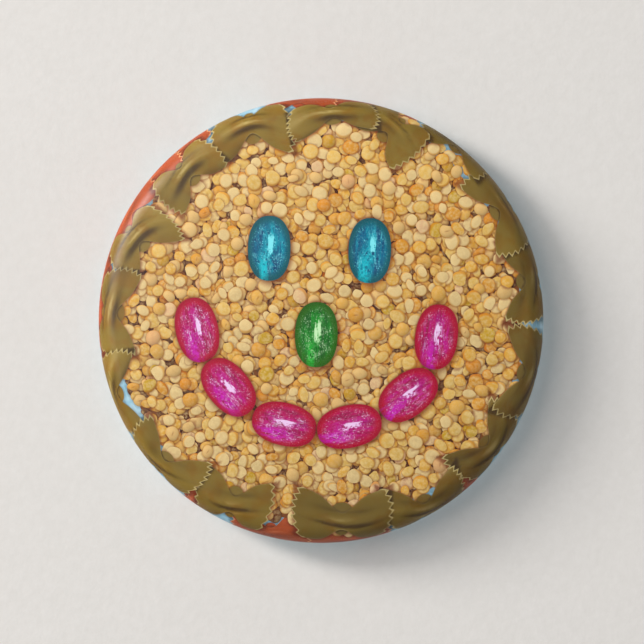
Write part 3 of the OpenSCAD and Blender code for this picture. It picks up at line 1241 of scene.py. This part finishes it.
def build_wire(material):
    """The spring wire, in the still half that ends in the coil and the half that swings over it."""
    leg_x = np.array([LEG_LEN, LEG_LEN - 0.05, LEG_LEN - 0.15, LEG_LEN - 0.3, 18, 12, 6, 2, 1, 0.4])
    leg = np.stack([leg_x, np.full_like(leg_x, COIL_R), np.zeros_like(leg_x)], axis=1)
    turns = coil_spot(np.linspace(0, STILL_TURN, 110))
    still = np.concatenate([leg, turns])
    radii = np.full(len(still), WIRE_R)
    radii[:3] = [0.7 * WIRE_R, 0.88 * WIRE_R, 0.97 * WIRE_R]
    anchor = sweep("pin_wire_still_half", still, radii, material)
    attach(anchor, "badge")
    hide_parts("pin_anchor")

    turns = coil_spot(np.linspace(SWING_TURN, FULL_TURN, 48))
    heading = FULL_TURN + math.pi
    out = np.array([math.cos(heading), math.sin(heading), 0])
    root = turns[-1] + np.linspace(0, ROOT_LEN, 6)[1:, None] * out
    side = np.array([-out[1], out[0], 0])
    bend = np.linspace(0, ROOT_ANGLE, 8)[1:, None]
    curve = root[-1] + ROOT_BEND_R * (np.sin(bend) * out + (1 - np.cos(bend)) * side)
    straight = np.array([1.0, 0, 0])
    shaft = curve[-1] + np.linspace(0, SHAFT_LEN, 14)[1:, None] * straight
    share = np.linspace(0, 1, 16)[1:]
    point = shaft[-1] + (POINT_LEN * share)[:, None] * straight
    swing = np.concatenate([turns, root, curve, shaft, point])
    radii = np.full(len(swing), WIRE_R)
    radii[:len(turns)] = WIRE_R * SWING_SWELL
    radii[-len(share):] = WIRE_R + (TIP_R - WIRE_R) * share ** 1.15
    needle = sweep("pin_wire_needle", swing, radii, material)
    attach(needle, "needle")
    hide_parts("pin_needle")


# ---------------------------------------------------------------- backdrop, light and camera
def backdrop_paper():
    """Warm white paper, clear from behind and to reflections behind the badge, so that its back is lit."""
    p = Paint("backdrop_paper", Roughness=0.9, Specular_IOR_Level=0.2)
    fibre = p.grain(900, 4.0, 0.65)
    cloud = p.grain(60)
    colour = p.blend(fibre, rgb(224, 220, 215), rgb(236, 232, 228))
    p.set("Base Color", p.blend(cloud * 0.25, colour, rgb(228, 223, 216)))
    p.bump(fibre, 0.18, 0.0002)
    behind = p.signal(p.node("ShaderNodeNewGeometry"), "Backfacing")
    seen = p.signal(p.node("ShaderNodeLightPath"), "Is Camera Ray")
    x, _, z = p.split(p.where())
    outside = p.smooth(p.distance(x, z), FACE_R * MM, (FACE_R + 1) * MM)
    clear = p.node("ShaderNodeBsdfTransparent")
    both = p.node("ShaderNodeMixShader")
    p.feed(both.inputs[0], 1.0 - p.math("MAXIMUM", seen, outside) * (1.0 - behind))
    p.tree.links.new(p.shader.outputs[0], both.inputs[1])
    p.tree.links.new(clear.outputs[0], both.inputs[2])
    p.tree.links.new(both.outputs[0], p.tree.nodes["Material Output"].inputs[0])
    return p.material


# How far the backdrop hangs behind the back rim in millimetres, and half the sheet's side in metres.
BACKDROP_GAP = 2.4
BACKDROP_HALF = 0.6


def build_stage():
    mesh = bpy.data.meshes.new("backdrop")
    half, back = BACKDROP_HALF, (DEPTH / 2 + BACKDROP_GAP) * MM
    sheet = [(x * half, back, z * half) for x, z in ((-1, -1), (1, -1), (1, 1), (-1, 1))]
    mesh.from_pydata(sheet, [], [[0, 1, 2, 3]])
    mesh.materials.append(backdrop_paper())
    paper = put_in_scene("backdrop", mesh)


def soft_light(name, place_at, size, power, colour=(1, 1, 1)):
    lamp = bpy.data.lights.new(name, "AREA")
    lamp.shape, lamp.size, lamp.energy, lamp.color = "DISK", size, power, colour
    made = put_in_scene(name, lamp)
    made.location = place_at
    made.rotation_euler = (-Vector(place_at)).to_track_quat("-Z", "Y").to_euler()
    return made


def build_lights():
    key = soft_light("key", (-0.93, -0.57, 0.49), 0.62, 11.2, (1.0, 0.985, 0.965))
    key.data.shape, key.data.size_y = "ELLIPSE", 0.26
    soft_light("front_fill", (-0.62, -1.0, 0.28), 0.8, 4.8)
    soft_light("back_fill", (0.45, 0.90, 0.60), 0.7, 9.0)
    world = bpy.data.worlds.new("room")
    world.use_nodes = True
    sky = world.node_tree.nodes["Background"].inputs
    sky["Color"].default_value = (0.96, 0.98, 1.0, 1)
    sky["Strength"].default_value = 0.34
    bpy.context.scene.world = world


# How far the camera stands in front of the face, and how far right and up of its middle, in metres.
CAMERA_AWAY = 0.455
CAMERA_SHIFT = (0.00012, -0.00019)


def build_camera():
    lens = bpy.data.cameras.new("camera")
    lens.lens, lens.sensor_width = 200, 36
    view = put_in_scene("camera", lens)
    view.location = (CAMERA_SHIFT[0], -CAMERA_AWAY - DEPTH / 2 * MM, CAMERA_SHIFT[1])
    view.rotation_euler = (math.pi / 2, 0, 0)
    bpy.context.scene.camera = view


build_print()
wrapped_layer("film_skin", 0, FILM_T - HAIR / 2, clear_film(), "mylar_film")
shell_metal = tinplate("shell_tinplate")
wrapped_layer("tinplate_shell", FILM_T + PAPER_T, SKIN_T, shell_metal, "front_shell")
build_plate(tinplate())
build_wire(drawn_wire())
build_stage()
build_lights()
build_camera()
bpy.context.scene.view_settings.view_transform = "Standard"
